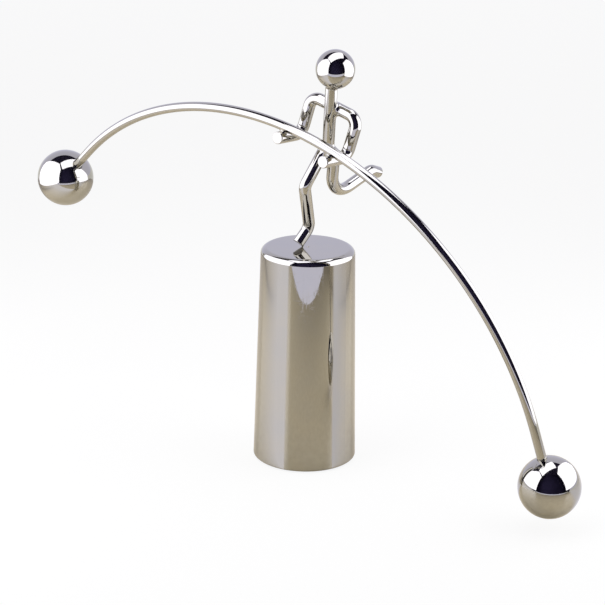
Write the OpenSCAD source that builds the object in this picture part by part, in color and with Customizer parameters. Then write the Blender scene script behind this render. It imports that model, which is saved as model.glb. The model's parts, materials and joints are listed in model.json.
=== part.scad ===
// Pendulum balancing figurine: a weight lifter bent from plated steel rod.
// It stands on the rim of one foot on a tapered pedestal and carries a long
// curved bar with a heavy ball at each end. The balls hang lower than the
// foot, so the figure rocks, nods and turns without falling off.
// The figure faces -Y. The rest position is the origin: the middle of the
// pedestal's underside, on the table.

/* [Pedestal] */
// Height of the pedestal, from the table to its top face
base_h = 85; // [75:1:105]
// Diameter of the pedestal at the table
base_bottom_d = 40; // [39:0.5:50]
// Diameter that the taper reaches at the top face
base_top_d = 36; // [32:0.5:38]
// Radius of the rounded edge round the top face
base_top_round = 2.4; // [1:0.1:4]
// Radius of the rounded edge at the foot of the pedestal
base_bottom_round = 0.6; // [0.3:0.1:0.8]
// Thickness of the pedestal's side wall
base_wall = 2.2; // [1.6:0.1:3]
// Thickness of the pedestal's roof under its top face
base_roof = 4; // [3:0.5:8]
// Diameter of the small centre mark that the lathe leaves in the top face
centre_mark_d = 1.2; // [0.6:0.1:2]
// Depth of the centre mark
centre_mark_depth = 0.4; // [0.2:0.1:0.8]

/* [Inside the pedestal] */
// Height of the iron slug that keeps the pedestal from tipping
weight_h = 30; // [15:1:45]
// Thickness of the steel disc that closes the pedestal from below
disc_t = 2.5; // [2.3:0.1:4]
// Width of the ledge in the shell that the disc is clamped against
disc_ledge = 0.9; // [0.5:0.1:1.1]
// Thickness of the pad glued under the disc
pad_t = 2; // [1.2:0.1:3]
// How far the pad stands out below the shell
pad_proud = 0.4; // [0.2:0.1:0.6]
// Diameter of the clamping screw's thread
screw_d = 4; // [3:0.5:5]
// Diameter of the clamping screw's countersunk head
screw_head_d = 8; // [6.5:0.5:8.5]
// Diameter of the threaded boss under the roof
boss_d = 10; // [8:0.5:14]
// Length of the threaded boss
boss_h = 12; // [8:1:20]
// How deep the screw turns into the boss
screw_engaged = 8; // [5:0.5:8]
// Width across the flats of the screw's hexagon socket
socket_w = 2.5; // [2:0.1:2.8]
// Depth of the socket
socket_depth = 1.4; // [1:0.1:1.8]

/* [Rods] */
// Diameter of the rod that the figure is bent from
rod_d = 4.6; // [4:0.1:5]
// Radius of the bends, to the middle of the rod
bend_r = 4; // [3.2:0.1:4.4]

/* [Standing leg] */
// Length of the foot, from its cut end to the ankle
foot_l = 7.2; // [6.6:0.1:9]
// How steeply the foot rises from its cut end, in degrees
foot_rise = 40.2; // [36:0.2:46]
// Length of the shin
shin_l = 21.8; // [18:0.1:26]
// How far the shin leans forward, in degrees
shin_lean = 16.6; // [12:0.2:22]
// Length of the thigh
thigh_l = 16; // [13:0.1:20]
// How far the thigh leans back, in degrees
thigh_lean = 37.4; // [32:0.2:44]

/* [Raised leg] */
// Length of the raised thigh
raised_thigh_l = 20.9; // [17:0.1:24]
// How far the raised knee is carried back, in degrees
raised_thigh_lean = 4; // [0:0.2:10]
// Radius of the raised knee's wide bend, to the middle of the rod
raised_knee_r = 10.8; // [7:0.1:12]
// Length of the raised shin, from the knee's corner to the ankle's
raised_shin_l = 24.3; // [21:0.1:30]
// How far the raised shin rises above level, in degrees
raised_shin_rise = 5.8; // [2:0.2:12]
// Length of the raised foot, from the ankle's corner to its cut end
raised_foot_l = 5.9; // [4:0.1:9]
// How far the raised foot drops below level, in degrees
raised_foot_drop = 30; // [20:0.5:40]

/* [Torso and head] */
// How far the foot of the torso stands beside the standing leg
torso_side = 1.6; // [0.8:0.1:2.3]
// Distance from the hip up to the shoulders
shoulder_h = 17.1; // [15:0.1:22]
// Distance from the hip up to the middle of the head
head_h = 34.2; // [32:0.1:40]
// How far the torso leans toward the figure's right, in degrees
torso_lean = 4.5; // [0:0.1:8]
// Diameter of the head ball
head_d = 14.5; // [12:0.1:17]
// How far the head sits beside the torso's line, toward the figure's left
head_side = 1.3; // [0:0.1:1.6]
// How deep the torso rod is let into the head
neck_depth = 3; // [1.5:0.1:4.5]

/* [Arms] */
// Distance between the two upper arms, middle to middle
arms_w = 21.7; // [18:0.1:28]
// How far the shoulder rod lies behind the torso's line
shoulder_back = 2.7; // [2.3:0.1:3.3]
// Drop from the shoulder to the elbow
upper_arm_drop = 15; // [13:0.1:19]
// How far the elbow lies in front of the shoulder
upper_arm_forward = 3.9; // [1:0.1:6]
// Length of the forearm, from the elbow to its cut end
forearm_l = 15.2; // [12:0.1:20]
// How steeply the forearm rises toward the hand, in degrees
forearm_rise = 15.4; // [8:0.2:24]

/* [Balance bar] */
// Diameter of the bar
bar_d = 3.6; // [2.8:0.1:4]
// Radius of the bar's arc, to the middle of the bar
bar_arc_r = 131; // [110:0.2:160]
// Half of the angle that the arc spans, in degrees
bar_half_angle = 59.2; // [54:0.2:64]
// Straight length from the end of the arc to the middle of the ball
bar_straight_l = 22.3; // [15:0.1:30]
// How far the bar has slid through the hands toward the figure's left
bar_slide = 6.1; // [0:0.1:9]
// Distance from the cut end of the forearm to where the bar lies on it
grip_from_end = 3.4; // [2:0.1:5]
// Diameter of the end balls
ball_d = 23.2; // [18:0.1:28]
// How far the bar's end passes the middle of the ball
bar_past_middle = 3; // [1:0.1:6]

/* [Brazed joints] */
// Diameter of the bead round the neck
neck_bead_d = 1.4; // [0.8:0.1:2]
// Diameter of the fillet in the corners of shoulder and torso
shoulder_bead_d = 3.8; // [3:0.1:4.4]
// Diameter of the fillet where the legs meet the torso
hip_bead_d = 6.4; // [5.6:0.1:7]
// Diameter of the fillet where the bar lies on a forearm
grip_bead_d = 3; // [2.4:0.1:4]
// Height of that fillet
grip_bead_h = 1.6; // [1:0.1:2]

/* [Stance] */
// How far the figure rocks over to its left as it balances, in degrees
sway_rest = 14.7; // [10:0.1:18]
// How far the figure leans forward as it balances, in degrees
nod_rest = 10.7; // [6:0.1:14]
// Distance that the foot stands to the figure's right of the pedestal's middle
foot_right = 2.05; // [0:0.05:5]
// Distance that the foot stands in front of the pedestal's middle
foot_front = 0.8; // [0:0.05:5]

/* [Clearances] */
// Clearance round a threaded or pressed fit, on the radius
fit_gap = 0.03; // [0.01:0.01:0.08]
// Clearance round a piece that is dropped into its seat, on the radius
seat_gap = 0.1; // [0.05:0.01:0.2]
// Clearance round the iron slug, on the radius
weight_gap = 0.3; // [0.2:0.05:0.6]
// Clearance between the parts of the foot's contact point
tip_gap = 0.02; // [0.01:0.01:0.03]

/* [Hidden] */
$fn = 96;
// Steps round a full turn of a bend, so that the long arc of the bar is smooth too
bend_fn = 720;
// How far a straight length runs on into a bend, and the bend's extra radius
bend_lap = 0.2;
bend_swell = 0.01;
plating = "lightsteelblue";
rod_r = rod_d / 2;
bar_r = bar_d / 2;
half_w = arms_w / 2;
// Longer than anything that a cutting shape has to pass through
beyond = 2 * (base_h + bar_arc_r);

// Vector helpers
function unit(v) = v / norm(v);
function axis_columns(x, y, z, o) =
    [[x[0], y[0], z[0], o[0]], [x[1], y[1], z[1], o[1]], [x[2], y[2], z[2], o[2]], [0, 0, 0, 1]];

// Side of the pedestal
base_taper = atan((base_bottom_d - base_top_d) / 2 / base_h);
function base_r(z) = base_bottom_d / 2 - z * tan(base_taper);
// Middle of an edge rounding of radius r that touches the side and lies at height z
function round_x(r, z) = base_r(z) - r / cos(base_taper);
top_round_z = base_h - base_top_round;
bottom_round_z = pad_proud + base_bottom_round;

// Stack inside the pedestal, from below: pad, disc, slug
disc_z = pad_t;
disc_top = disc_z + disc_t;
roof_z = base_h - base_roof;
boss_z = roof_z - boss_h;
recess_r = base_r(disc_top) - base_wall + disc_ledge;
screw_head_h = (screw_head_d - screw_d) / 2;
screw_top = boss_z + screw_engaged;
thread_past_screw = 1.5;

// Contact point. The figure turns about a point just above the pedestal, and
// three small pieces there carry the lifting, turning and rocking in turn.
tip_h = 0.5;
tip_disc_r = 0.45;
tip_disc_t = 0.1;
tip_roller_r = 0.24;
tip_roller_l = 1.1;
tip_pocket_r = 0.7;
tip_pocket_l = 1.5;
tip_point = [-foot_right, -foot_front, base_h + tip_h];

// Limits of rocking and nodding, from the rest stance
sway_back = -36;
nod_limit = 12;
relief_gap = 0.04;

// Figure's own frame: the contact point is its origin, +X is the figure's
// left, and it faces -Y. Down is the way that gravity pulls at rest.
down = [sin(sway_rest), -cos(sway_rest) * sin(nod_rest), -cos(sway_rest) * cos(nod_rest)];
foot_dir = [0, -cos(foot_rise), -sin(foot_rise)];
toe_low = unit(down - (down * foot_dir) * foot_dir);
toe = -rod_r * toe_low;
ankle = toe - foot_l * foot_dir;
knee = ankle + shin_l * [0, -sin(shin_lean), cos(shin_lean)];
hip = knee + thigh_l * [0, sin(thigh_lean), cos(thigh_lean)];
raised_hip = hip + [rod_d, 0, 0];
raised_knee = raised_hip + raised_thigh_l * [0, sin(raised_thigh_lean), -cos(raised_thigh_lean)];
raised_ankle = raised_knee + raised_shin_l * [0, cos(raised_shin_rise), sin(raised_shin_rise)];
raised_toe = raised_ankle + raised_foot_l * [0, cos(raised_foot_drop), -sin(raised_foot_drop)];
hip_mid = hip + [torso_side, 0, 0];
torso_dir = [-sin(torso_lean), 0, cos(torso_lean)];
head_mid = hip_mid + head_h * torso_dir + [head_side, 0, 0];
torso_top = hip_mid + (head_h - head_d / 2 + neck_depth) * torso_dir;
arms_mid = hip_mid + shoulder_h * torso_dir;

// Arms, from the middle of the shoulders
forearm_dir = [0, -cos(forearm_rise), sin(forearm_rise)];
forearm_up = [0, sin(forearm_rise), cos(forearm_rise)];
function shoulder_at(side) = arms_mid + [side * half_w, shoulder_back, 0];
function elbow_at(side) = shoulder_at(side) + [0, -upper_arm_forward, -upper_arm_drop];
function hand_at(side) = elbow_at(side) + forearm_l * forearm_dir;
// Place on top of a forearm where the bar lies
function grip_at(side) = hand_at(side) - grip_from_end * forearm_dir + rod_r * forearm_up;

// Bar. It touches both forearms at the same height, so its arc is centred
// under the middle of the arms however far it has slid along itself.
bar_on_arm = grip_at(0) + (bar_r + fit_gap) * forearm_up;
bar_centre = bar_on_arm - [0, 0, sqrt(bar_arc_r * bar_arc_r - half_w * half_w)];
bar_turn = bar_slide / bar_arc_r * 180 / PI;

// Straight rod between two points
module straight_rod(a, b, d) {
    run = b - a;
    translate(a)
        rotate([0, acos(run[2] / norm(run)), atan2(run[1], run[0])])
            cylinder(h = norm(run), d = d);
}
// Rod that runs up from the origin. Each step is a straight length, then the
// radius and angle of the bend after it, which turns toward +X, and the twist
// about the rod that comes before the bend. The last step has only a length.
// The straight lengths run on into the bends, so that the rod is one solid.
module rod_run(steps, d, i = 0) {
    l = steps[i][0];
    r = steps[i][1];
    bend = steps[i][2];
    bend_before = i > 0;
    bend_after = i < len(steps) - 1;
    start = bend_before ? -bend_lap : 0;
    end = bend_after ? l + bend_lap : l;
    translate([0, 0, start]) cylinder(h = end - start, d = d);
    if (bend_after)
        translate([0, 0, l]) rotate([0, 0, steps[i][3]]) {
            translate([r, 0, 0]) rotate([90, 0, 180])
                rotate_extrude(angle = bend, $fn = bend_fn)
                    translate([r, 0]) circle(d = d + 2 * bend_swell);
            translate([r * (1 - cos(bend)), 0, r * sin(bend)])
                rotate([0, bend, 0]) rod_run(steps, d, i + 1);
        }
}
// Rod through a list of points, with a round bend at each corner. The list r
// holds the radius of each bend, and its first entry stands for the rod's start.
function dir_at(p, i) = unit(p[i + 1] - p[i]);
function bend_axis(p, i) = unit(cross(dir_at(p, i - 1), dir_at(p, i)));
function bend_angle(p, i) = acos(dir_at(p, i - 1) * dir_at(p, i));
function bend_trim(p, i, r) = i == 0 || i == len(p) - 1 ? 0 : r[i] * tan(bend_angle(p, i) / 2);
function twist_at(p, i) = i == 1 ? 0 :
    atan2(cross(bend_axis(p, i - 1), bend_axis(p, i)) * dir_at(p, i - 1),
        bend_axis(p, i - 1) * bend_axis(p, i));
function run_length(p, i, r) = norm(p[i + 1] - p[i]) - bend_trim(p, i, r) - bend_trim(p, i + 1, r);
module bent_rod(p, r, d) {
    z = dir_at(p, 0);
    y = bend_axis(p, 1);
    last = len(p) - 2;
    steps = [for (i = [0 : last]) i == last ? [run_length(p, i, r)] :
        [run_length(p, i, r), r[i + 1], bend_angle(p, i + 1), twist_at(p, i + 1)]];
    multmatrix(axis_columns(cross(y, z), y, z, p[0])) rod_run(steps, d);
}

// Space below the pedestal's top face, seen from the figure as it rocks and nods
module below_pedestal_top(sway, nod) {
    rotate([-nod_rest - nod, 0, 0])
        rotate([0, -sway_rest - sway, 0])
            translate([-rod_d, -rod_d, -rod_d - tip_h + relief_gap])
                cube([2 * rod_d, 2 * rod_d, rod_d]);
}
module above_hip() {
    translate([-beyond / 2, -beyond / 2, hip_mid[2]]) cube(beyond);
}
module below_hip() {
    translate([-beyond / 2, -beyond / 2, hip_mid[2] - beyond]) cube(beyond);
}
module in_figure() {
    translate(tip_point) rotate([nod_rest, sway_rest, 0]) children();
}

// Rods as they were cut and bent, before they are fitted to each other. The
// legs run on past the hip, and are cut off level there.
function past(from, to) = to + rod_d * unit(to - from);
module standing_leg_bend() {
    bent_rod([toe, ankle, knee, past(knee, hip)], [0, bend_r, bend_r], rod_d);
}
module raised_leg_bend() {
    bent_rod([past(raised_knee, raised_hip), raised_knee, raised_ankle, raised_toe],
        [0, raised_knee_r, bend_r], rod_d);
}
module torso_line() {
    straight_rod(hip_mid - rod_d * torso_dir, torso_top, rod_d);
}
module arms_bend() {
    bent_rod([hand_at(-1), elbow_at(-1), shoulder_at(-1), shoulder_at(1), elbow_at(1), hand_at(1)],
        [0, bend_r, bend_r, bend_r, bend_r], rod_d);
}
module bar_curve() {
    end_l = bar_straight_l + bar_past_middle;
    in_bar()
        translate(along_end(-1, end_l)) rotate([0, 90 - bar_half_angle, 0])
            rod_run([[end_l, bar_arc_r, 2 * bar_half_angle, 0], [end_l]], bar_d);
}
// Frame of the bar, with the middle of its arc as origin
module in_bar() {
    translate(bar_centre) rotate([0, bar_turn, 0]) children();
}
// Point on one of the bar's straight ends, l past the end of the arc
function along_end(side, l) =
    [side * (bar_arc_r * sin(bar_half_angle) + l * cos(bar_half_angle)), 0,
        bar_arc_r * cos(bar_half_angle) - l * sin(bar_half_angle)];

// Pedestal
module pedestal_outline() {
    side_x = cos(base_taper);
    side_z = sin(base_taper);
    bottom_x = round_x(base_bottom_round, bottom_round_z);
    top_x = round_x(base_top_round, top_round_z);
    polygon([
        [0, pad_proud],
        [bottom_x, pad_proud],
        [bottom_x, bottom_round_z],
        [bottom_x + base_bottom_round * side_x, bottom_round_z + base_bottom_round * side_z],
        [top_x + base_top_round * side_x, top_round_z + base_top_round * side_z],
        [top_x, top_round_z],
        [top_x, base_h],
        [0, base_h]]);
    translate([bottom_x, bottom_round_z]) circle(r = base_bottom_round);
    translate([top_x, top_round_z]) circle(r = base_top_round);
}
module pedestal_shell() {
    color(plating)
        difference() {
            union() {
                difference() {
                    rotate_extrude() pedestal_outline();
                    rotate_extrude() polygon([
                        [0, pad_proud / 2],
                        [recess_r, pad_proud / 2],
                        [recess_r, disc_top],
                        [base_r(disc_top) - base_wall, disc_top],
                        [base_r(roof_z) - base_wall, roof_z],
                        [0, roof_z]]);
                }
                translate([0, 0, boss_z]) cylinder(h = boss_h + base_roof / 2, d = boss_d);
            }
            translate([0, 0, boss_z - 1])
                cylinder(h = screw_engaged + thread_past_screw + 1, r = screw_d / 2 + fit_gap);
            translate([0, 0, base_h - centre_mark_depth])
                cylinder(h = 2 * centre_mark_depth, d1 = 0, d2 = 2 * centre_mark_d);
        }
}
module pedestal_weight() {
    bottom_r = base_r(disc_top) - base_wall - weight_gap;
    top_r = base_r(disc_top + weight_h) - base_wall - weight_gap;
    color("dimgray")
        difference() {
            translate([0, 0, disc_top]) cylinder(h = weight_h, r1 = bottom_r, r2 = top_r);
            translate([0, 0, disc_top - 1]) cylinder(h = weight_h + 2, r = screw_d / 2 + seat_gap);
        }
}
module closing_disc() {
    color("silver")
        difference() {
            translate([0, 0, disc_z]) cylinder(h = disc_t, r = recess_r - seat_gap);
            translate([0, 0, disc_z - 1]) cylinder(h = disc_t + 2, r = screw_d / 2 + seat_gap);
            translate([0, 0, disc_z - screw_head_h])
                cylinder(h = 2 * screw_head_h, r1 = screw_head_d / 2 + screw_head_h + fit_gap,
                    r2 = screw_d / 2 + fit_gap);
        }
}
module clamp_screw() {
    color("gray")
        difference() {
            union() {
                translate([0, 0, disc_z])
                    cylinder(h = screw_head_h, d1 = screw_head_d, d2 = screw_d);
                translate([0, 0, disc_z]) cylinder(h = screw_top - disc_z, d = screw_d);
            }
            translate([0, 0, disc_z - 1]) cylinder(h = socket_depth + 1, d = socket_w / cos(30), $fn = 6);
        }
}
module underside_pad() {
    color("black") cylinder(h = pad_t, r = recess_r - seat_gap);
}

// Contact point
module contact_point_lift() {
    color(plating)
        translate(tip_point - [0, 0, tip_h - tip_gap]) cylinder(h = tip_disc_t, r = tip_disc_r);
}
module contact_point_turn() {
    color(plating)
        translate(tip_point - [0, 0, tip_h - 2 * tip_gap - tip_disc_t])
            cylinder(h = tip_disc_t, r = tip_disc_r);
}
module contact_point_sway() {
    color(plating)
        translate(tip_point) rotate([90, 0, 0])
            cylinder(h = tip_roller_l, r = tip_roller_r, center = true);
}

// Figure
module standing_leg_rod() {
    color(plating)
        in_figure() difference() {
            standing_leg_bend();
            above_hip();
            rotate([0, 90, 0]) cylinder(h = tip_pocket_l, r = tip_pocket_r, center = true);
            for (nod = [-nod_limit, nod_limit]) below_pedestal_top(sway_back, nod);
        }
}
module raised_leg_rod() {
    color(plating)
        in_figure() difference() {
            raised_leg_bend();
            above_hip();
        }
}
module torso_rod() {
    color(plating)
        in_figure() difference() {
            torso_line();
            below_hip();
        }
}
module arms_rod() {
    color(plating)
        in_figure() difference() {
            arms_bend();
            torso_line();
        }
}
module head_ball() {
    color(plating)
        in_figure() difference() {
            translate(head_mid) sphere(d = head_d);
            straight_rod(hip_mid, torso_top + fit_gap * torso_dir, rod_d + 2 * fit_gap);
        }
}
module balance_bar() {
    color(plating) in_figure() bar_curve();
}
module ball_weight(side) {
    mouth = along_end(side, bar_straight_l - ball_d);
    seat = along_end(side, bar_straight_l + bar_past_middle + fit_gap);
    color(plating)
        in_figure() in_bar() difference() {
            translate(along_end(side, bar_straight_l)) rotate([0, 0, 90]) sphere(d = ball_d);
            straight_rod(mouth, seat, bar_d + 2 * fit_gap);
        }
}
module ball_weight_left() {
    ball_weight(1);
}
module ball_weight_right() {
    ball_weight(-1);
}

// Brazed joints
module neck_braze() {
    neck_run = head_h - head_d / 2;
    color(plating)
        in_figure() difference() {
            translate(hip_mid + neck_run * torso_dir)
                rotate([0, -torso_lean, 0])
                    rotate_extrude() translate([rod_r, 0]) circle(d = neck_bead_d);
            torso_line();
            translate(head_mid) sphere(d = head_d);
        }
}
module shoulder_braze() {
    color(plating)
        in_figure() difference() {
            for (side = [-1, 1])
                translate(arms_mid + [side * rod_r, shoulder_back - shoulder_bead_d / 2, 0])
                    cylinder(h = shoulder_bead_d, d = shoulder_bead_d, center = true);
            torso_line();
            straight_rod(shoulder_at(-1), shoulder_at(1), rod_d);
        }
}
module hip_braze() {
    color(plating)
        in_figure() difference() {
            translate(hip + [rod_r, 0, 0]) sphere(d = hip_bead_d);
            torso_line();
            straight_rod(knee, past(knee, hip), rod_d);
            straight_rod(raised_knee, past(raised_knee, raised_hip), rod_d);
        }
}
module grip_braze(side) {
    slope = asin(half_w / bar_arc_r);
    bar_along = rod_d * [cos(slope), 0, -side * sin(slope)];
    bar_on_grip = grip_at(side) + (bar_r + fit_gap) * forearm_up;
    color(plating)
        in_figure() difference() {
            translate(grip_at(side)) rotate([-forearm_rise, 0, 0])
                cylinder(h = grip_bead_h, d = grip_bead_d, center = true);
            straight_rod(elbow_at(side), hand_at(side), rod_d);
            straight_rod(bar_on_grip - bar_along, bar_on_grip + bar_along, bar_d + 2 * fit_gap);
        }
}
module grip_braze_left() {
    grip_braze(1);
}
module grip_braze_right() {
    grip_braze(-1);
}

pedestal_shell();
pedestal_weight();
closing_disc();
clamp_screw();
underside_pad();
contact_point_lift();
contact_point_turn();
contact_point_sway();
standing_leg_rod();
raised_leg_rod();
torso_rod();
arms_rod();
head_ball();
balance_bar();
ball_weight_left();
ball_weight_right();
neck_braze();
shoulder_braze();
hip_braze();
grip_braze_left();
grip_braze_right();
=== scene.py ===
import json
import math

import bmesh
import bpy
from mathutils import Matrix, Vector


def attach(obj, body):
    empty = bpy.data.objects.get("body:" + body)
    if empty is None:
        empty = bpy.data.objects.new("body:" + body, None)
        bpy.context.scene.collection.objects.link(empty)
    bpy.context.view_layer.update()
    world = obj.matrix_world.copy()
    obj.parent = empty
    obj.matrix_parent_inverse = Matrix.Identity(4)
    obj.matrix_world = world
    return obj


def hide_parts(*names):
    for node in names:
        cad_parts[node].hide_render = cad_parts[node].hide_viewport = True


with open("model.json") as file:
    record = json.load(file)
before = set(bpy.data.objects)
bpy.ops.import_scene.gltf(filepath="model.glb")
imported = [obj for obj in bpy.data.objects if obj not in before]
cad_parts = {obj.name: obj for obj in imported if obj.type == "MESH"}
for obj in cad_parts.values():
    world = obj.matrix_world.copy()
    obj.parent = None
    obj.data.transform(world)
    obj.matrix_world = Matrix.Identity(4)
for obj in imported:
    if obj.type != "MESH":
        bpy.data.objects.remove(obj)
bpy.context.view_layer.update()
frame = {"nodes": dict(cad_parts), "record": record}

scene = bpy.context.scene
scene.view_settings.view_transform = "Standard"

# Camera, in the model's own frame: metres and degrees
CAMERA_AT = (0.43654, -0.58201, 0.31209)
CAMERA_AZIMUTH = 37.009
CAMERA_PITCH = 18.93
CAMERA_ROLL = 1.05
# Focal length in pixels of a photograph 605 pixels wide, and the sensor it is set for
PHOTO_WIDTH = 605
FOCAL_PIXELS = 2000
SENSOR_MM = 36

# Sizes of the object, in millimetres and degrees
MM = 0.001
BASE_H = 85
ROD_D = 4.6
ROD_R = ROD_D / 2
BEND_R = 4
FOOT_L = 7.2
FOOT_RISE = 40.2
SHIN_L = 21.8
SHIN_LEAN = 16.6
THIGH_L = 16
THIGH_LEAN = 37.4
RAISED_THIGH_L = 20.9
RAISED_THIGH_LEAN = 4
RAISED_KNEE_R = 10.8
RAISED_SHIN_L = 24.3
RAISED_SHIN_RISE = 5.8
RAISED_FOOT_L = 5.9
RAISED_FOOT_DROP = 30
TORSO_SIDE = 1.6
SHOULDER_H = 17.1
HEAD_H = 34.2
TORSO_LEAN = 4.5
HEAD_D = 14.5
HEAD_SIDE = 1.3
NECK_DEPTH = 3
ARMS_W = 21.7
SHOULDER_BACK = 2.7
UPPER_ARM_DROP = 15
UPPER_ARM_FORWARD = 3.9
FOREARM_L = 15.2
FOREARM_RISE = 15.4
BAR_D = 3.6
BAR_ARC_R = 131
BAR_HALF_ANGLE = 59.2
BAR_STRAIGHT_L = 22.3
BAR_SLIDE = 6.1
GRIP_FROM_END = 3.4
BALL_D = 23.2
BAR_PAST_MIDDLE = 3
SWAY_REST = 14.7
NOD_REST = 10.7
FOOT_RIGHT = 2.05
FOOT_FRONT = 0.8
TIP_H = 0.5
FIT_GAP = 0.03
# Small roundings left by the file on cut ends and bore mouths
CUT_ROUND = 0.35
BORE_ROUND = 0.12

# The foot is drawn longer, and worn back to a gap over the pedestal at these angles
FOOT_REACH = 0.6
FOOT_CLEAR = 0.03
FOOT_SWAYS = (-36, -27, -18, -9, 0, 1.7)
FOOT_NODS = (-12, 0, 12)
# Brazed joints: how wide each one blends the rods, how far from its centre it can reach,
# how far the centres lie off the rods, and how deep each fillet sinks in them
NECK_BLEND, NECK_REACH = 1.4, 4.4
SHOULDER_BLEND, SHOULDER_REACH = 1.8, 4.6
HIP_BLEND, HIP_REACH, HIP_BRAZE_DROP = 1.8, 4.8, 1
GRIP_BLEND, GRIP_REACH, GRIP_BAR_HALF = 1.2, 2.4, 6
BRAZE_SUNK = 0.02

# How finely the pieces are drawn: steps in a turn, or degrees in a step
ROUND_STEPS = 64
BALL_STEPS = 160
BEND_STEP = 3
BAR_STEP = 1
CUT_STEPS = (0, 18, 36, 54, 72, 90)
BORE_STEP = 22.5
BRAZE_DETAIL = 5

# Looks of the plate
PLATE_WARM = (0.43, 0.408, 0.345)
PLATE_COOL = (0.415, 0.40, 0.35)
PLATE_ROUGHNESS = 0.025
SMUDGE_ROUGHNESS = 0.05
SCRATCH_ROUGHNESS = 0.10
RIPPLE = 1.5

# Studio, in metres: x to the camera's right, y away from it, z up
FLOOR_REACH = 4.0
FLOOR_LIGHT, FLOOR_DARK = (0.80, 0.78, 0.66), (0.77, 0.75, 0.63)
FLOOR_WHITE = 0.88
CARD_Z = 0.0004
CARD_SIDE = 0.36
CARD_FRONT = -0.25
CARD_NEAR_EDGE = -0.45
BOARD_LIGHT, BOARD_DARK, BOARD_GRAIN = (0.73, 0.65, 0.445), (0.66, 0.58, 0.39), 160
BOARD_ROUGHNESS = 0.35
# Each strip of painted light, a glow for floor lit brighter by a softbox: its start at the
# pedestal, its direction in degrees and its strength
PAINTED_LIGHT_STRIPS = (((-0.0078, -0.0184), -46, 1.30), ((0.0109, -0.0168), 65, 1.05))
PAINTED_LIGHT_COLOUR = (0.95, 0.94, 1.06)
PAINTED_LIGHT_BLEND = 3
PAINTED_LIGHT_FADE = (75, 125)
# Lavender card, a painted reflection, and the softboxes: colour and strength of each
LAVENDER, LAVENDER_LIGHT = (0.97, 0.98, 1.27), 1.14
SOFTBOX, SOFTBOX_LIGHT = (1, 1.02, 1.22), 2.7
# Side softboxes: x, and the outline as (y, z). The overhead one: its corners
LEFT_X = -0.24
LEFT_OUTLINE = ((-0.30, 0.03), (-0.30, 0.50), (-0.05, 0.50), (0.17, 0.17), (0.17, 0.03))
RIGHT_X = 0.23
RIGHT_OUTLINE = ((-0.17, 0.03), (-0.17, 0.38), (0.03, 0.36), (0.18, 0.10), (0.18, 0.03))
OVERHEAD = ((-0.16, -0.25, 0.45), (0.22, 0.0, 0.45), (0.15, 0.25, 0.45), (-0.20, -0.01, 0.45))
# Dark flags: the front ones from (x, y) to (x, y), and the one overhead
FLAG_SIDE = 1.1
FLAG_TOP = 0.9
FLAG_LEFT_FROM = (-0.25, -0.30)
FLAG_RIGHT_FROM = (0.30, -0.18)
FLAG_ROOF_Y = (-0.8, 0.56)
FLAG_ROOF_Z = 0.95
FLAG_LIGHT, FLAG_DARK = (0.034, 0.029, 0.066), (0.028, 0.023, 0.055)
ROOF_LIGHT, ROOF_DARK = (0.04, 0.034, 0.07), (0.035, 0.03, 0.06)
WORLD_COLOUR, WORLD_LIGHT = (0.78, 0.785, 1.0), 1.10


def sin_d(angle):
    return math.sin(math.radians(angle))


def cos_d(angle):
    return math.cos(math.radians(angle))


def turned(angle, axis):
    return Matrix.Rotation(math.radians(angle), 4, axis)


def add_camera():
    data = bpy.data.cameras.new("camera")
    data.sensor_width = SENSOR_MM
    data.lens = FOCAL_PIXELS * SENSOR_MM / PHOTO_WIDTH
    camera = bpy.data.objects.new("camera", data)
    scene.collection.objects.link(camera)
    camera.matrix_world = (
        Matrix.Translation(CAMERA_AT)
        @ turned(CAMERA_AZIMUTH, "Z")
        @ turned(90 - CAMERA_PITCH, "X")
        @ turned(CAMERA_ROLL, "Z")
    )
    scene.camera = camera


# The figure's own frame: its foot's contact point is the origin, X is its left, it faces -Y
TIP_POINT = Vector((-FOOT_RIGHT, -FOOT_FRONT, BASE_H + TIP_H))
FIGURE = Matrix.Translation(TIP_POINT) @ turned(SWAY_REST, "Y") @ turned(NOD_REST, "X")
DOWN = FIGURE.to_3x3().inverted() @ Vector((0, 0, -1))
FOOT_DIR = Vector((0, -cos_d(FOOT_RISE), -sin_d(FOOT_RISE)))
TOE = -ROD_R * (DOWN - DOWN.dot(FOOT_DIR) * FOOT_DIR).normalized()
ANKLE = TOE - FOOT_L * FOOT_DIR
KNEE = ANKLE + SHIN_L * Vector((0, -sin_d(SHIN_LEAN), cos_d(SHIN_LEAN)))
HIP = KNEE + THIGH_L * Vector((0, sin_d(THIGH_LEAN), cos_d(THIGH_LEAN)))
RAISED_HIP = HIP + Vector((ROD_D, 0, 0))
RAISED_THIGH_DIR = Vector((0, sin_d(RAISED_THIGH_LEAN), -cos_d(RAISED_THIGH_LEAN)))
RAISED_SHIN_DIR = Vector((0, cos_d(RAISED_SHIN_RISE), sin_d(RAISED_SHIN_RISE)))
RAISED_FOOT_DIR = Vector((0, cos_d(RAISED_FOOT_DROP), -sin_d(RAISED_FOOT_DROP)))
RAISED_KNEE = RAISED_HIP + RAISED_THIGH_L * RAISED_THIGH_DIR
RAISED_ANKLE = RAISED_KNEE + RAISED_SHIN_L * RAISED_SHIN_DIR
RAISED_TOE = RAISED_ANKLE + RAISED_FOOT_L * RAISED_FOOT_DIR
HIP_MID = HIP + Vector((TORSO_SIDE, 0, 0))
TORSO_DIR = Vector((-sin_d(TORSO_LEAN), 0, cos_d(TORSO_LEAN)))
NECK = HIP_MID + (HEAD_H - HEAD_D / 2) * TORSO_DIR
TORSO_TOP = NECK + NECK_DEPTH * TORSO_DIR
HEAD_MID = HIP_MID + HEAD_H * TORSO_DIR + Vector((HEAD_SIDE, 0, 0))
ARMS_MID = HIP_MID + SHOULDER_H * TORSO_DIR
FOREARM_DIR = Vector((0, -cos_d(FOREARM_RISE), sin_d(FOREARM_RISE)))
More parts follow.
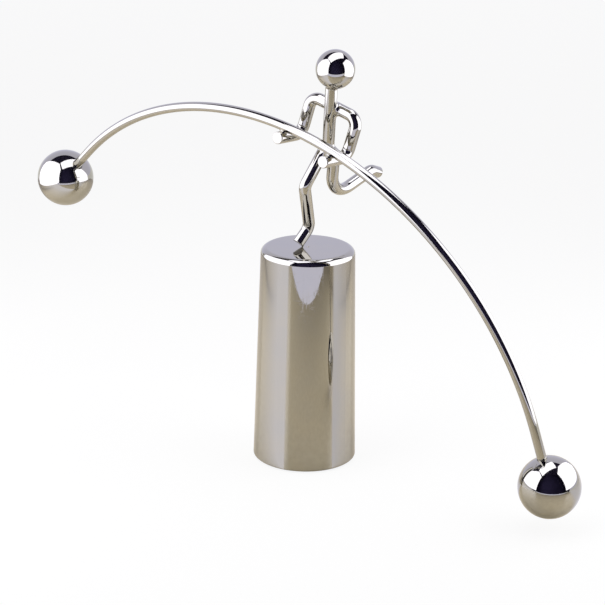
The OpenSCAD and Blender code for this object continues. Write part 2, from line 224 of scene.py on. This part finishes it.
FOREARM_UP = Vector((0, sin_d(FOREARM_RISE), cos_d(FOREARM_RISE)))
SIDES = {"left": 1, "right": -1}


def shoulder_at(side):
    return ARMS_MID + Vector((side * ARMS_W / 2, SHOULDER_BACK, 0))


def elbow_at(side):
    return shoulder_at(side) + Vector((0, -UPPER_ARM_FORWARD, -UPPER_ARM_DROP))


def hand_at(side):
    return elbow_at(side) + FOREARM_L * FOREARM_DIR


def grip_at(side):
    return hand_at(side) - GRIP_FROM_END * FOREARM_DIR + ROD_R * FOREARM_UP


# The bar's frame has the middle of its arc as origin
BAR_ON_ARM = grip_at(0) + (BAR_D / 2 + FIT_GAP) * FOREARM_UP
BAR_CENTRE = BAR_ON_ARM - Vector((0, 0, math.sqrt(BAR_ARC_R ** 2 - (ARMS_W / 2) ** 2)))
BAR = FIGURE @ Matrix.Translation(BAR_CENTRE) @ turned(math.degrees(BAR_SLIDE / BAR_ARC_R), "Y")


def along_end(side, length):
    across = BAR_ARC_R * sin_d(BAR_HALF_ANGLE) + length * cos_d(BAR_HALF_ANGLE)
    up = BAR_ARC_R * cos_d(BAR_HALF_ANGLE) - length * sin_d(BAR_HALF_ANGLE)
    return Vector((side * across, 0, up))


# Mesh pieces
def new_piece(name, verts, faces, placed, body, nodes, material):
    """Mesh in millimetres of a frame, put into the model's frame as a piece on a body."""
    mesh = bpy.data.meshes.new(name)
    into = Matrix.Scale(MM, 4) @ placed
    mesh.from_pydata([into @ v for v in verts], [], faces)
    mesh.polygons.foreach_set("use_smooth", [True] * len(mesh.polygons))
    mesh.materials.append(material)
    piece = bpy.data.objects.new(name, mesh)
    scene.collection.objects.link(piece)
    edit = bmesh.new()
    edit.from_mesh(mesh)
    bmesh.ops.recalc_face_normals(edit, faces=edit.faces)
    edit.to_mesh(mesh)
    edit.free()
    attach(piece, body)
    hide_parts(*nodes)
    return piece


def rings_to_faces(rings, steps):
    """Faces between rings of points, with a fan over each ring that has one point."""
    faces = []
    start = 0
    for ring, after in zip(rings, rings[1:]):
        follow = start + len(ring)
        for k in range(steps):
            n = (k + 1) % steps
            if len(ring) == 1:
                faces.append((start, follow + n, follow + k))
            elif len(after) == 1:
                faces.append((start + k, start + n, follow))
            else:
                faces.append((start + k, start + n, follow + n, follow + k))
        start = follow
    return [v for ring in rings for v in ring], faces


def lathe(profile, steps):
    """Rings of a shape turned about Z from (radius, height) points."""
    rings = []
    for radius, height in profile:
        if radius == 0:
            rings.append([Vector((0, 0, height))])
        else:
            angles = [360 * k / steps for k in range(steps)]
            rings.append([Vector((radius * cos_d(a), radius * sin_d(a), height)) for a in angles])
    return rings_to_faces(rings, steps)


def arc_points(centre, radius, start, end, step):
    """Points of an arc in (radius, height) from one angle to another."""
    count = max(2, math.ceil(abs(end - start) / step))
    angles = [start + (end - start) * k / count for k in range(count + 1)]
    return [(centre[0] + radius * cos_d(a), centre[1] + radius * sin_d(a)) for a in angles]


def rounded_path(points, radii, step):
    """Points and directions along a rod that is bent at the inner points of a line."""
    path = [(points[0], (points[1] - points[0]).normalized())]
    for before, corner, after, radius in zip(points, points[1:], points[2:], radii):
        into = (corner - before).normalized()
        out = (after - corner).normalized()
        angle = math.degrees(into.angle(out))
        axis = into.cross(out).normalized()
        start = corner - radius * math.tan(math.radians(angle / 2)) * into
        centre = start + radius * axis.cross(into)
        count = math.ceil(angle / step)
        for k in range(count + 1):
            part = Matrix.Rotation(math.radians(angle * k / count), 3, axis)
            path.append((centre + part @ (start - centre), part @ into))
    path.append((points[-1], (points[-1] - points[-2]).normalized()))
    return path


def swept(path, radius):
    """Rings of a round rod along a path, with a small rounding on both cut ends."""
    first, first_dir = path[0]
    last, last_dir = path[-1]
    cap = [(1 - cos_d(a), 1 - sin_d(a)) for a in CUT_STEPS]
    stations = [(first + CUT_ROUND * deep * first_dir, first_dir, radius - CUT_ROUND * thin)
                for deep, thin in cap]
    stations += [(spot, way, radius) for spot, way in path[1:-1]]
    stations += [(last - CUT_ROUND * deep * last_dir, last_dir, radius - CUT_ROUND * thin)
                 for deep, thin in reversed(cap)]
    side = first_dir.orthogonal().normalized()
    rings = [[first]]
    way_before = first_dir
    for spot, way, r in stations:
        side = way_before.rotation_difference(way) @ side
        side = (side - side.dot(way) * way).normalized()
        other = way.cross(side)
        way_before = way
        angles = [360 * k / ROUND_STEPS for k in range(ROUND_STEPS)]
        rings.append([spot + r * (cos_d(a) * side + sin_d(a) * other) for a in angles])
    rings.append([last])
    return rings_to_faces(rings, ROUND_STEPS)


def turned_up(spot, way):
    """Frame at a spot with its Z along a direction."""
    turn = Vector((0, 0, 1)).rotation_difference(way)
    return Matrix.Translation(spot) @ turn.to_matrix().to_4x4()


def bored_ball(ball_d, bore_r):
    """Ball whose bore points along +Z, with a rounded mouth."""
    r = ball_d / 2
    mouth = math.degrees(math.asin((bore_r + BORE_ROUND) / r))
    deep = r * cos_d(mouth) - BORE_ROUND
    step = 360 / BALL_STEPS
    profile = [(0, -r)] + arc_points((0, 0), r, -90 + step / 2, 90 - mouth, step)
    profile += arc_points((bore_r + BORE_ROUND, deep), BORE_ROUND, 90, 180, BORE_STEP)[1:]
    profile += [(bore_r, deep - BORE_ROUND), (0, deep - BORE_ROUND)]
    return lathe(profile, BALL_STEPS)


# Brazed joints: the shape between rods that a smooth blend of them fills
def capsule_distance(point, start, end, radius):
    """Distance to a rod with round ends."""
    run = end - start
    part = max(0, min(1, (point - start).dot(run) / run.length_squared))
    return (point - start - part * run).length - radius


def blended(point, shapes, blend):
    """Distance to a smooth union of rods (start, end, radius) and balls (centre, radius)."""
    total = None
    for shape in shapes:
        if len(shape) == 3:
            distance = capsule_distance(point, *shape)
        else:
            distance = (point - shape[0]).length - shape[1]
        if total is None:
            total = distance
            continue
        share = max(blend - abs(total - distance), 0) / blend
        total = min(total, distance) - share * share * blend / 4
    return total


def braze(name, centre, shapes, blend, reach):
    """Fillet of solder round a joint, as seen from its centre."""
    edit = bmesh.new()
    bmesh.ops.create_icosphere(edit, subdivisions=BRAZE_DETAIL, radius=1)
    for vert in edit.verts:
        way = vert.co.normalized()
        near, far = 0, reach
        if blended(centre + far * way, shapes, blend) > -BRAZE_SUNK:
            while far - near > BRAZE_SUNK / 4:
                middle = (near + far) / 2
                if blended(centre + middle * way, shapes, blend) > -BRAZE_SUNK:
                    far = middle
                else:
                    near = middle
        vert.co = centre + near * way if near else centre + far * way
    edit.verts.ensure_lookup_table()
    verts = [v.co.copy() for v in edit.verts]
    faces = [[v.index for v in f.verts] for f in edit.faces]
    edit.free()
    return new_piece(name + "_fillet", verts, faces, FIGURE, "figure", [name], STEEL)


# Materials
def new_material(name):
    material = bpy.data.materials.new(name)
    material.use_nodes = True
    tree = material.node_tree
    return material, tree, tree.nodes["Principled BSDF"]


def node(tree, kind, **settings):
    made = tree.nodes.new(kind)
    for name, value in settings.items():
        if name in made.inputs:
            made.inputs[name].default_value = value
        else:
            setattr(made, name, value)
    return made


def place(tree, scale=(1, 1, 1)):
    """Place on the object, stretched."""
    where = node(tree, "ShaderNodeTexCoord")
    mapping = node(tree, "ShaderNodeMapping")
    mapping.inputs["Scale"].default_value = scale
    tree.links.new(where.outputs["Object"], mapping.inputs["Vector"])
    return mapping.outputs["Vector"]


def noise(tree, vector, scale, detail=2.0, roughness=0.5):
    made = tree.nodes.new("ShaderNodeTexNoise")
    made.inputs["Scale"].default_value = scale
    made.inputs["Detail"].default_value = detail
    made.inputs["Roughness"].default_value = roughness
    tree.links.new(vector, made.inputs["Vector"])
    return made.outputs["Fac"]


def ranged(tree, value, low, high, to_low, to_high):
    made = tree.nodes.new("ShaderNodeMapRange")
    sockets = ("From Min", "From Max", "To Min", "To Max")
    for socket, number in zip(sockets, (low, high, to_low, to_high)):
        made.inputs[socket].default_value = number
    tree.links.new(value, made.inputs["Value"])
    return made.outputs["Result"]


def math_node(tree, operation, a, b):
    made = tree.nodes.new("ShaderNodeMath")
    made.operation = operation
    for socket, value in zip(made.inputs, (a, b)):
        if isinstance(value, (int, float)):
            socket.default_value = value
        else:
            tree.links.new(value, socket)
    return made.outputs[0]


def mixed_colour(tree, factor, one, other):
    made = tree.nodes.new("ShaderNodeMix")
    made.data_type = "RGBA"
    made.inputs["A"].default_value = (*one, 1)
    made.inputs["B"].default_value = (*other, 1)
    tree.links.new(factor, made.inputs["Factor"])
    return made.outputs["Result"]


def bump(tree, shader, height, strength, distance):
    made = node(tree, "ShaderNodeBump", Strength=strength, Distance=distance)
    tree.links.new(height, made.inputs["Height"])
    tree.links.new(made.outputs["Normal"], shader.inputs["Normal"])


def hairlines(tree, scale, stretch, width):
    """Thin straight scratches, 1 on a line and 0 off it."""
    field = noise(tree, place(tree, stretch), scale, 1.0)
    off = math_node(tree, "ABSOLUTE", math_node(tree, "SUBTRACT", field, 0.5), 0)
    return ranged(tree, off, 0, width, 1, 0)


def plated_steel():
    material, tree, shader = new_material("plated_steel")
    shader.inputs["Metallic"].default_value = 1.0
    tone = noise(tree, place(tree), 90, 3.0)
    colour = mixed_colour(tree, ranged(tree, tone, 0.35, 0.65, 0, 1), PLATE_WARM, PLATE_COOL)
    tree.links.new(colour, shader.inputs["Base Color"])
    cloud = noise(tree, place(tree), 140, 5.0, 0.65)
    smudge = ranged(tree, cloud, 0.52, 0.75, 0, SMUDGE_ROUGHNESS)
    lines = math_node(tree, "MAXIMUM", hairlines(tree, 420, (1, 1, 0.05), 0.006),
                      hairlines(tree, 380, (0.06, 0.7, 1), 0.004))
    rough = math_node(tree, "MULTIPLY", lines, SCRATCH_ROUGHNESS)
    rough = math_node(tree, "ADD", math_node(tree, "ADD", rough, smudge), PLATE_ROUGHNESS)
    tree.links.new(rough, shader.inputs["Roughness"])
    ripple = noise(tree, place(tree), 260, 3.0)
    height = math_node(tree, "SUBTRACT", math_node(tree, "MULTIPLY", ripple, RIPPLE), lines)
    bump(tree, shader, height, 0.12, 0.00001)
    return material


def cast_iron():
    material, tree, shader = new_material("iron")
    shader.inputs["Metallic"].default_value = 0.7
    grain = noise(tree, place(tree), 900, 6.0, 0.7)
    colour = mixed_colour(tree, grain, (0.035, 0.033, 0.032), (0.12, 0.105, 0.095))
    tree.links.new(colour, shader.inputs["Base Color"])
    tree.links.new(ranged(tree, grain, 0.3, 0.7, 0.55, 0.85), shader.inputs["Roughness"])
    bump(tree, shader, grain, 0.6, 0.0002)
    return material


def bare_steel():
    """Turned on a lathe: fine rings round the Z axis."""
    material, tree, shader = new_material("bare_steel")
    shader.inputs["Metallic"].default_value = 1.0
    rings = tree.nodes.new("ShaderNodeTexWave")
    rings.wave_type = "RINGS"
    rings.rings_direction = "Z"
    rings.inputs["Scale"].default_value = 900
    rings.inputs["Distortion"].default_value = 0.6
    tree.links.new(place(tree), rings.inputs["Vector"])
    tone = noise(tree, place(tree), 300, 4.0)
    colour = mixed_colour(tree, tone, (0.50, 0.49, 0.47), (0.58, 0.57, 0.55))
    tree.links.new(colour, shader.inputs["Base Color"])
    tree.links.new(ranged(tree, rings.outputs["Fac"], 0, 1, 0.28, 0.42), shader.inputs["Roughness"])
    bump(tree, shader, rings.outputs["Fac"], 0.25, 0.00003)
    return material


def foam_rubber():
    material, tree, shader = new_material("pad")
    cells = tree.nodes.new("ShaderNodeTexVoronoi")
    cells.inputs["Scale"].default_value = 1800
    tree.links.new(place(tree), cells.inputs["Vector"])
    speck = ranged(tree, cells.outputs["Distance"], 0, 0.8, 0, 1)
    colour = mixed_colour(tree, speck, (0.012, 0.012, 0.013), (0.035, 0.034, 0.034))
    tree.links.new(colour, shader.inputs["Base Color"])
    tree.links.new(ranged(tree, speck, 0, 1, 0.95, 0.75), shader.inputs["Roughness"])
    bump(tree, shader, speck, 0.7, 0.0001)
    return material


def paper(name, light, dark, grain_scale=500):
    material, tree, shader = new_material(name)
    grain = noise(tree, place(tree), grain_scale, 4.0)
    colour = mixed_colour(tree, ranged(tree, grain, 0.3, 0.7, 0, 1), light, dark)
    tree.links.new(colour, shader.inputs["Base Color"])
    shader.inputs["Roughness"].default_value = 1.0
    shader.inputs["Specular IOR Level"].default_value = 0.0
    return material


def glow(name, colour, strength):
    material = bpy.data.materials.new(name)
    material.use_nodes = True
    tree = material.node_tree
    tree.nodes.clear()
    emission = node(tree, "ShaderNodeEmission", Strength=strength)
    emission.inputs["Color"].default_value = (*colour, 1)
    output = tree.nodes.new("ShaderNodeOutputMaterial")
    tree.links.new(emission.outputs[0], output.inputs["Surface"])
    return material


def floor_paper():
    """Pale paper that the camera and the metal see whiter than it is lit."""
    material = paper("floor_paper", FLOOR_LIGHT, FLOOR_DARK)
    tree = material.node_tree
    ray = node(tree, "ShaderNodeLightPath")
    seen = math_node(tree, "MAXIMUM", ray.outputs["Is Camera Ray"], ray.outputs["Is Glossy Ray"])
    seen = math_node(tree, "MAXIMUM", seen, ray.outputs["Is Transmission Ray"])
    white = node(tree, "ShaderNodeEmission", Strength=1.0)
    white.inputs["Color"].default_value = (1, 1, 1, 1)
    mix = tree.nodes.new("ShaderNodeMixShader")
    tree.links.new(math_node(tree, "MULTIPLY", seen, FLOOR_WHITE), mix.inputs["Fac"])
    tree.links.new(tree.nodes["Principled BSDF"].outputs[0], mix.inputs[1])
    tree.links.new(white.outputs[0], mix.inputs[2])
    tree.links.new(mix.outputs[0], tree.nodes["Material Output"].inputs["Surface"])
    return material


# The studio's frame in the model's
STUDIO = turned(CAMERA_AZIMUTH, "Z")


def sheet(name, corners, material, seen=True, lit_by=True):
    """Flat stage piece. The camera doesn't see some, and some don't light or shade paper."""
    mesh = bpy.data.meshes.new(name)
    mesh.from_pydata([STUDIO @ Vector(c) for c in corners], [], [tuple(range(len(corners)))])
    mesh.uv_layers.new()
    mesh.materials.append(material)
    made = bpy.data.objects.new(name, mesh)
    scene.collection.objects.link(made)
    made.visible_camera = seen
    if not lit_by:
        made.visible_diffuse = False
        made.visible_shadow = False
    return made


def unseen_wall(name, start, end, height, material):
    """Upright sheet on the floor from (x, y) to (x, y), which the camera doesn't see."""
    corners = [(*start, 0), (*end, 0), (*end, height), (*start, height)]
    return sheet(name, corners, material, seen=False)


def unseen_panel(name, x, outline, material):
    """Upright light panel across x, with its outline as (y, z)."""
    return sheet(name, [(x, y, z) for y, z in outline], material, seen=False)


def rectangle(x, y_near, y_far, z):
    """Corners of a level sheet that is as wide to the left as to the right."""
    return [(-x, y_near, z), (x, y_near, z), (x, y_far, z), (-x, y_far, z)]


def board_with_painted_light():
    """Glazed khaki board with painted light: a pale glowing strip on each side, for floor lit
    brighter by the softboxes, that fades in and out by direction.
    """
    board = paper("glazed_board_with_painted_light", BOARD_LIGHT, BOARD_DARK, BOARD_GRAIN)
    tree = board.node_tree
    shader = tree.nodes["Principled BSDF"]
    shader.inputs["Roughness"].default_value = BOARD_ROUGHNESS
    shader.inputs["Specular IOR Level"].default_value = 0.5
    surface = shader.outputs[0]
    for start, azimuth, strength in PAINTED_LIGHT_STRIPS:
        where = node(tree, "ShaderNodeTexCoord")
        mapping = node(tree, "ShaderNodeMapping")
        mapping.inputs["Rotation"].default_value = (0, 0, -math.radians(CAMERA_AZIMUTH))
        mapping.inputs["Location"].default_value = (-start[0], -start[1], 0)
        tree.links.new(where.outputs["Object"], mapping.inputs["Vector"])
        split = tree.nodes.new("ShaderNodeSeparateXYZ")
        tree.links.new(mapping.outputs["Vector"], split.inputs[0])
        across = math_node(tree, "MULTIPLY", split.outputs["X"], math.copysign(1, azimuth))
        nearer = math_node(tree, "MULTIPLY", split.outputs["Y"], -1)
        angle = math_node(tree, "ARCTAN2", across, nearer)
        edge = math.radians(abs(azimuth))
        blend = math.radians(PAINTED_LIGHT_BLEND)
        rise = ranged(tree, angle, edge - blend, edge + blend, 0, 1)
        fade_from, fade_to = (math.radians(a) for a in PAINTED_LIGHT_FADE)
        fall = ranged(tree, angle, fade_from, fade_to, 1, 0)
        # Painted light: a glow, no lamp, that the metal shows as floor lit brighter by a softbox
        painted_glow = node(tree, "ShaderNodeEmission", Strength=strength)
        painted_glow.inputs["Color"].default_value = (*PAINTED_LIGHT_COLOUR, 1)
        mix = tree.nodes.new("ShaderNodeMixShader")
        tree.links.new(math_node(tree, "MULTIPLY", rise, fall), mix.inputs["Fac"])
        tree.links.new(surface, mix.inputs[1])
        tree.links.new(painted_glow.outputs[0], mix.inputs[2])
        surface = mix.outputs[0]
    tree.links.new(surface, tree.nodes["Material Output"].inputs["Surface"])
    return board


def add_studio():
    sheet("floor", rectangle(FLOOR_REACH, -FLOOR_REACH, FLOOR_REACH, 0), floor_paper())
    # Khaki board under the object with its strips of painted light, and a lavender card before it
    # that glows as a painted reflection; only the metal shows them
    corners = rectangle(CARD_SIDE, CARD_FRONT, CARD_SIDE, CARD_Z)
    sheet("board_khaki_with_painted_light", corners, board_with_painted_light(), seen=False, lit_by=False)
    corners = rectangle(CARD_SIDE, CARD_NEAR_EDGE, CARD_FRONT, CARD_Z)
    # Painted reflection: the lavender card glows, lights nothing and shows only in the metal
    lavender = glow("lavender_painted_reflection", LAVENDER, LAVENDER_LIGHT)
    sheet("card_lavender_painted_reflection", corners, lavender, seen=False, lit_by=False)
    # Softboxes on both sides and overhead, and dark flags round the camera
    white = glow("softbox_light", SOFTBOX, SOFTBOX_LIGHT)
    unseen_panel("softbox_left", LEFT_X, LEFT_OUTLINE, white)
    unseen_panel("softbox_right", RIGHT_X, RIGHT_OUTLINE, white)
    sheet("softbox_top", OVERHEAD, white, seen=False)
    black = paper("black_flag", FLAG_LIGHT, FLAG_DARK)
    left, right = (-FLAG_SIDE, CARD_NEAR_EDGE), (FLAG_SIDE, CARD_NEAR_EDGE)
    unseen_wall("flag_front", left, right, FLAG_TOP, black)
    unseen_wall("flag_front_left", FLAG_LEFT_FROM, left, FLAG_TOP, black)
    unseen_wall("flag_front_right", FLAG_RIGHT_FROM, right, FLAG_TOP, black)
    roof = rectangle(FLAG_SIDE, *FLAG_ROOF_Y, FLAG_ROOF_Z)
    sheet("flag_top", roof, paper("dark_flag", ROOF_LIGHT, ROOF_DARK), seen=False)


def add_world():
    world = bpy.data.worlds.new("world")
    world.use_nodes = True
    background = world.node_tree.nodes["Background"]
    background.inputs["Color"].default_value = (*WORLD_COLOUR, 1)
    background.inputs["Strength"].default_value = WORLD_LIGHT
    scene.world = world


# Pieces of the object
def worn_by_pedestal(vert):
    """Foot's rim, worn back so that it clears the pedestal wherever the figure rocks."""
    for sway in FOOT_SWAYS:
        for nod in FOOT_NODS:
            stance = turned(SWAY_REST + sway, "Y") @ turned(NOD_REST + nod, "X")
            up = stance.to_3x3().transposed() @ Vector((0, 0, 1))
            sunk = FOOT_CLEAR - TIP_H - vert.dot(up)
            if sunk > 0:
                vert = vert + sunk * up
    return vert


def add_rods():
    standing = [TOE + FOOT_REACH * FOOT_DIR, ANKLE, KNEE, HIP]
    raised = [RAISED_HIP, RAISED_KNEE, RAISED_ANKLE, RAISED_TOE]
    right_arm = [hand_at(-1), elbow_at(-1), shoulder_at(-1)]
    left_arm = [shoulder_at(1), elbow_at(1), hand_at(1)]
    rods = {
        "standing_leg_rod": (standing, [BEND_R] * 2),
        "raised_leg_rod": (raised, [RAISED_KNEE_R, BEND_R]),
        "torso_rod": ([HIP_MID, TORSO_TOP], []),
        "arms_rod": (right_arm + left_arm, [BEND_R] * 4),
    }
    for name, (points, radii) in rods.items():
        verts, faces = swept(rounded_path(points, radii, BEND_STEP), ROD_R)
        if name == "standing_leg_rod":
            verts = [worn_by_pedestal(v) for v in verts]
        new_piece(name + "_bent", verts, faces, FIGURE, "figure", [name], STEEL)


def add_bar():
    end_l = BAR_STRAIGHT_L + BAR_PAST_MIDDLE
    apex = Vector((0, 0, BAR_ARC_R / cos_d(BAR_HALF_ANGLE)))
    path = rounded_path([along_end(-1, end_l), apex, along_end(1, end_l)], [BAR_ARC_R], BAR_STEP)
    verts, faces = swept(path, BAR_D / 2)
    new_piece("balance_bar_bent", verts, faces, BAR, "figure", ["balance_bar"], STEEL)


def add_balls():
    for label, side in SIDES.items():
        middle = along_end(side, BAR_STRAIGHT_L)
        verts, faces = bored_ball(BALL_D, BAR_D / 2 + FIT_GAP)
        placed = BAR @ turned_up(middle, (along_end(side, 0) - middle).normalized())
        nodes = ["ball_weight_" + label]
        new_piece("end_ball_" + label, verts, faces, placed, "figure", nodes, STEEL)
    verts, faces = bored_ball(HEAD_D, ROD_R + FIT_GAP)
    placed = FIGURE @ turned_up(HEAD_MID, -TORSO_DIR)
    new_piece("head", verts, faces, placed, "figure", ["head_ball"], STEEL)


def add_brazes():
    torso = (HIP_MID, TORSO_TOP, ROD_R)
    shoulders = (shoulder_at(-1), shoulder_at(1), ROD_R)
    thighs = [(KNEE, HIP, ROD_R), (RAISED_KNEE, RAISED_HIP, ROD_R)]
    head = (HEAD_MID, HEAD_D / 2)
    braze("neck_braze", NECK, [torso, head], NECK_BLEND, NECK_REACH)
    between = ARMS_MID + Vector((0, SHOULDER_BACK / 2, 0))
    braze("shoulder_braze", between, [torso, shoulders], SHOULDER_BLEND, SHOULDER_REACH)
    between = HIP + Vector((ROD_R, 0, -HIP_BRAZE_DROP))
    braze("hip_braze", between, [torso] + thighs, HIP_BLEND, HIP_REACH)
    slope = math.degrees(math.asin(ARMS_W / 2 / BAR_ARC_R))
    for label, side in SIDES.items():
        along = GRIP_BAR_HALF * Vector((cos_d(slope), 0, -side * sin_d(slope)))
        on_grip = grip_at(side) + (BAR_D / 2 + FIT_GAP) * FOREARM_UP
        forearm = (elbow_at(side), hand_at(side), ROD_R)
        bar = (on_grip - along, on_grip + along, BAR_D / 2)
        braze("grip_braze_" + label, grip_at(side), [forearm, bar], GRIP_BLEND, GRIP_REACH)


add_camera()
add_world()
add_studio()
STEEL = plated_steel()
IN_SLOT = {
    "plated_steel": STEEL,
    "iron": cast_iron(),
    "bare_steel": bare_steel(),
    "pad": foam_rubber(),
}
SLOT_OF = {part["node"]: part["material_slot"] for part in frame["record"]["subparts"]}
for name, solid in frame["nodes"].items():
    solid.data.materials.clear()
    solid.data.materials.append(IN_SLOT[SLOT_OF[name]])
add_rods()
add_bar()
add_balls()
add_brazes()
